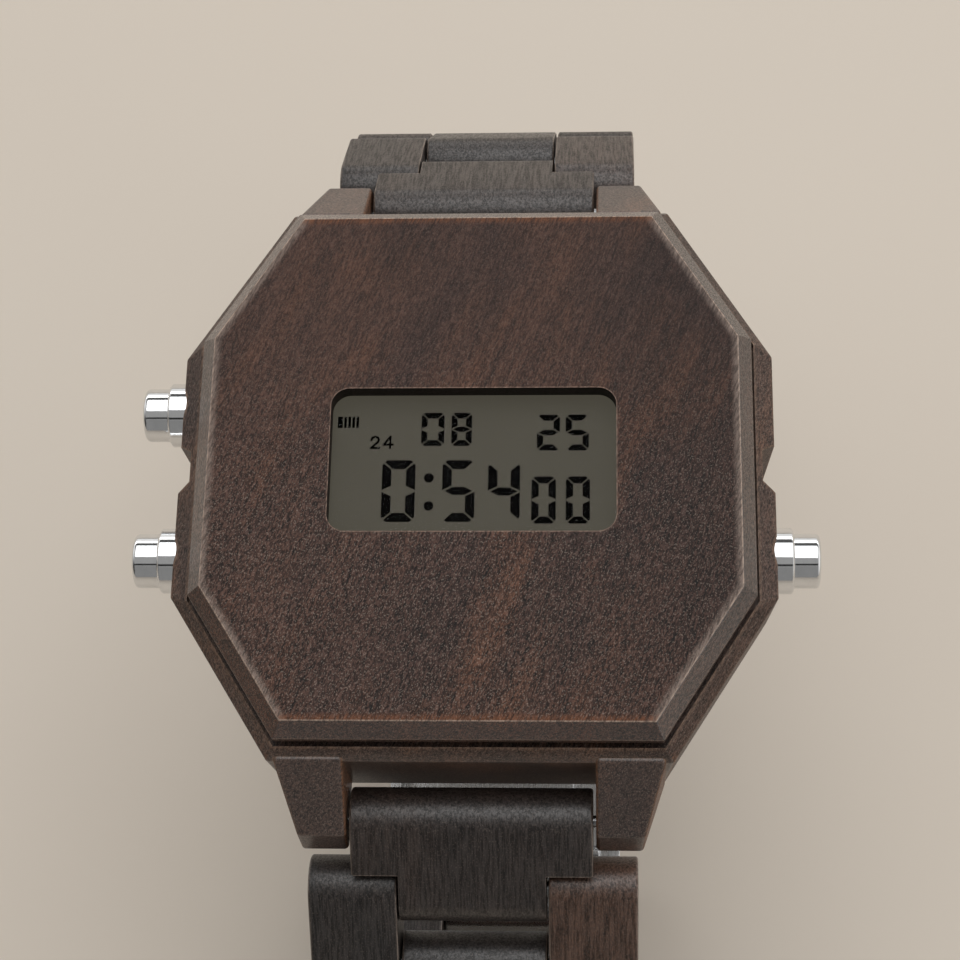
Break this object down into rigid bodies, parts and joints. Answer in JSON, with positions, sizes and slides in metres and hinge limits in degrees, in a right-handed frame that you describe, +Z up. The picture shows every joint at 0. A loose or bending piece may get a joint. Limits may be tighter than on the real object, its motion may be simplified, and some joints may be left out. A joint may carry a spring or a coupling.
{
  "type": "wooden digital wristwatch",
  "caption": "Octagonal dark wooden digital wristwatch with push buttons, a three-row wooden link bracelet and a folding steel clasp.",
  "frame": {"origin": "on the floor under the middle of the watch, which stands on its closed clasp", "axes": "+Z up and out of the face, +Y to 12 o'clock, +X to 3 o'clock"},
  "size_m": [0.047, 0.0772, 0.0574],
  "materials": {
    "case_wood": "fine dark sandalwood, oiled matte",
    "bracelet_wood": "fine dark sandalwood, oiled matte",
    "window_glass": "clear flat mineral glass",
    "lcd": "olive grey display glass",
    "black_rubber": "matte black",
    "frame_plastic": "moulded black",
    "board": "green solder mask",
    "film": "pale film",
    "buzzer_brass": "bare brass",
    "polished_steel": "polished",
    "steel": "brushed stainless"
  },
  "bodies": {
    "case": {"front_case": "case_wood", "mid_case": "case_wood", "window_crystal": "window_glass", "window_seal": "black_rubber", "lcd_panel": "lcd", "backlight_film": "film", "conductor_strips": "black_rubber", "module_frame": "frame_plastic", "circuit_board": "board", "coin_battery": "steel", "battery_strap": "steel", "buzzer_disc": "buzzer_brass", "case_back_seal": "black_rubber", "case_back": "steel", "case_back_screws": "steel", "button_sleeves": "polished_steel", "lug_spring_bars": "steel", "button_spring_lower_right": "steel", "button_spring_upper_left": "steel", "button_spring_lower_left": "steel"},
    "button_lower_right": {"button_lower_right": "polished_steel"},
    "button_upper_left": {"button_upper_left": "polished_steel"},
    "button_lower_left": {"button_lower_left": "polished_steel"},
    "end_link_twelve": {"end_link_twelve": "bracelet_wood"},
    "outer_links_twelve_1": {"outer_links_twelve_1": "bracelet_wood", "link_pins_twelve_1": "steel"},
    "center_link_twelve_1": {"center_link_twelve_1": "bracelet_wood"},
    "outer_links_twelve_2": {"outer_links_twelve_2": "bracelet_wood", "link_pins_twelve_2": "steel"},
    "center_link_twelve_2": {"center_link_twelve_2": "bracelet_wood"},
    "outer_links_twelve_3": {"outer_links_twelve_3": "bracelet_wood", "link_pins_twelve_3": "steel"},
    "center_link_twelve_3": {"center_link_twelve_3": "bracelet_wood"},
    "outer_links_twelve_4": {"outer_links_twelve_4": "bracelet_wood", "link_pins_twelve_4": "steel"},
    "center_link_twelve_4": {"center_link_twelve_4": "bracelet_wood"},
    "outer_links_twelve_5": {"outer_links_twelve_5": "bracelet_wood", "link_pins_twelve_5": "steel"},
    "end_link_six": {"end_link_six": "bracelet_wood"},
    "outer_links_six_1": {"outer_links_six_1": "bracelet_wood", "link_pins_six_1": "steel"},
    "center_link_six_1": {"center_link_six_1": "bracelet_wood"},
    "outer_links_six_2": {"outer_links_six_2": "bracelet_wood", "link_pins_six_2": "steel"},
    "center_link_six_2": {"center_link_six_2": "bracelet_wood"},
    "outer_links_six_3": {"outer_links_six_3": "bracelet_wood", "link_pins_six_3": "steel"},
    "center_link_six_3": {"center_link_six_3": "bracelet_wood"},
    "outer_links_six_4": {"outer_links_six_4": "bracelet_wood", "link_pins_six_4": "steel"},
    "center_link_six_4": {"center_link_six_4": "bracelet_wood"},
    "outer_links_six_5": {"outer_links_six_5": "bracelet_wood", "link_pins_six_5": "steel"},
    "clasp_cover": {"clasp_cover": "steel", "clasp_cover_spring_bar": "steel", "clasp_cover_hinge_pin": "steel"},
    "clasp_middle_blade": {"clasp_middle_blade": "steel", "clasp_blade_hinge_pin": "steel"},
    "clasp_inner_blade": {"clasp_inner_blade": "steel", "clasp_blade_spring_bar": "steel"}
  },
  "joints": [
    {"name": "button_lower_right_press", "type": "slide", "parent": "case", "child": "button_lower_right", "axis": [-1, 0, 0], "range_m": [0, 0.0008], "stiffness_N_per_m": 600, "springref_m": -0.0002, "deforming": ["button_spring_lower_right"]},
    {"name": "button_upper_left_press", "type": "slide", "parent": "case", "child": "button_upper_left", "axis": [1, 0, 0], "range_m": [0, 0.0008], "stiffness_N_per_m": 600, "springref_m": -0.0002, "deforming": ["button_spring_upper_left"]},
    {"name": "button_lower_left_press", "type": "slide", "parent": "case", "child": "button_lower_left", "axis": [1, 0, 0], "range_m": [0, 0.0008], "stiffness_N_per_m": 600, "springref_m": -0.0002, "deforming": ["button_spring_lower_left"]},
    {"name": "end_link_twelve_hinge", "type": "hinge", "parent": "case", "child": "end_link_twelve", "pos_m": [0, 0.0228, 0.04904], "axis": [1, 0, 0], "range_deg": [0, 45]},
    {"name": "outer_links_twelve_1_hinge", "type": "hinge", "parent": "end_link_twelve", "child": "outer_links_twelve_1", "pos_m": [0, 0.02669, 0.04566], "axis": [1, 0, 0], "range_deg": [0, 6]},
    {"name": "center_link_twelve_1_hinge", "type": "hinge", "parent": "outer_links_twelve_1", "child": "center_link_twelve_1", "pos_m": [0, 0.03107, 0.04157], "axis": [1, 0, 0], "range_deg": [0, 18]},
    {"name": "outer_links_twelve_2_hinge", "type": "hinge", "parent": "center_link_twelve_1", "child": "outer_links_twelve_2", "pos_m": [0, 0.03434, 0.03654], "axis": [1, 0, 0], "range_deg": [0, 20]},
    {"name": "center_link_twelve_2_hinge", "type": "hinge", "parent": "outer_links_twelve_2", "child": "center_link_twelve_2", "pos_m": [0, 0.0361, 0.0308], "axis": [1, 0, 0], "range_deg": [0, 18]},
    {"name": "outer_links_twelve_3_hinge", "type": "hinge", "parent": "center_link_twelve_2", "child": "outer_links_twelve_3", "pos_m": [0, 0.03641, 0.02481], "axis": [1, 0, 0], "range_deg": [0, 16]},
    {"name": "center_link_twelve_3_hinge", "type": "hinge", "parent": "outer_links_twelve_3", "child": "center_link_twelve_3", "pos_m": [0, 0.03547, 0.01888], "axis": [1, 0, 0], "range_deg": [0, 16]},
    {"name": "outer_links_twelve_4_hinge", "type": "hinge", "parent": "center_link_twelve_3", "child": "outer_links_twelve_4", "pos_m": [0, 0.03332, 0.01328], "axis": [1, 0, 0], "range_deg": [0, 17]},
    {"name": "center_link_twelve_4_hinge", "type": "hinge", "parent": "outer_links_twelve_4", "child": "center_link_twelve_4", "pos_m": [0, 0.02997, 0.0083], "axis": [1, 0, 0], "range_deg": [0, 20]},
    {"name": "outer_links_twelve_5_hinge", "type": "hinge", "parent": "center_link_twelve_4", "child": "outer_links_twelve_5", "pos_m": [0, 0.02537, 0.00445], "axis": [1, 0, 0], "range_deg": [0, 22]},
    {"name": "end_link_six_hinge", "type": "hinge", "parent": "case", "child": "end_link_six", "pos_m": [0, -0.0228, 0.04904], "axis": [-1, 0, 0], "range_deg": [0, 45]},
    {"name": "outer_links_six_1_hinge", "type": "hinge", "parent": "end_link_six", "child": "outer_links_six_1", "pos_m": [0, -0.02669, 0.04566], "axis": [-1, 0, 0], "range_deg": [0, 6]},
    {"name": "center_link_six_1_hinge", "type": "hinge", "parent": "outer_links_six_1", "child": "center_link_six_1", "pos_m": [0, -0.03107, 0.04157], "axis": [-1, 0, 0], "range_deg": [0, 18]},
    {"name": "outer_links_six_2_hinge", "type": "hinge", "parent": "center_link_six_1", "child": "outer_links_six_2", "pos_m": [0, -0.03434, 0.03654], "axis": [-1, 0, 0], "range_deg": [0, 20]},
    {"name": "center_link_six_2_hinge", "type": "hinge", "parent": "outer_links_six_2", "child": "center_link_six_2", "pos_m": [0, -0.0361, 0.0308], "axis": [-1, 0, 0], "range_deg": [0, 18]},
    {"name": "outer_links_six_3_hinge", "type": "hinge", "parent": "center_link_six_2", "child": "outer_links_six_3", "pos_m": [0, -0.03641, 0.02481], "axis": [-1, 0, 0], "range_deg": [0, 16]},
    {"name": "center_link_six_3_hinge", "type": "hinge", "parent": "outer_links_six_3", "child": "center_link_six_3", "pos_m": [0, -0.03547, 0.01888], "axis": [-1, 0, 0], "range_deg": [0, 16]},
    {"name": "outer_links_six_4_hinge", "type": "hinge", "parent": "center_link_six_3", "child": "outer_links_six_4", "pos_m": [0, -0.03332, 0.01328], "axis": [-1, 0, 0], "range_deg": [0, 17]},
    {"name": "center_link_six_4_hinge", "type": "hinge", "parent": "outer_links_six_4", "child": "center_link_six_4", "pos_m": [0, -0.02997, 0.0083], "axis": [-1, 0, 0], "range_deg": [0, 20]},
    {"name": "outer_links_six_5_hinge", "type": "hinge", "parent": "center_link_six_4", "child": "outer_links_six_5", "pos_m": [0, -0.02537, 0.00445], "axis": [-1, 0, 0], "range_deg": [0, 22]},
    {"name": "clasp_cover_hinge", "type": "hinge", "parent": "outer_links_twelve_5", "child": "clasp_cover", "pos_m": [0, 0.01981, 0.0022], "axis": [1, 0, 0], "range_deg": [0, 26]},
    {"name": "clasp_middle_blade_hinge", "type": "hinge", "parent": "clasp_cover", "child": "clasp_middle_blade", "pos_m": [0, -0.01501, 0.0018], "axis": [1, 0, 0], "range_deg": [0, 90]},
    {"name": "clasp_inner_blade_hinge", "type": "hinge", "parent": "clasp_middle_blade", "child": "clasp_inner_blade", "pos_m": [0, 0.01461, 0.00237], "axis": [-1, 0, 0], "range_deg": [0, 90]}
  ]
}
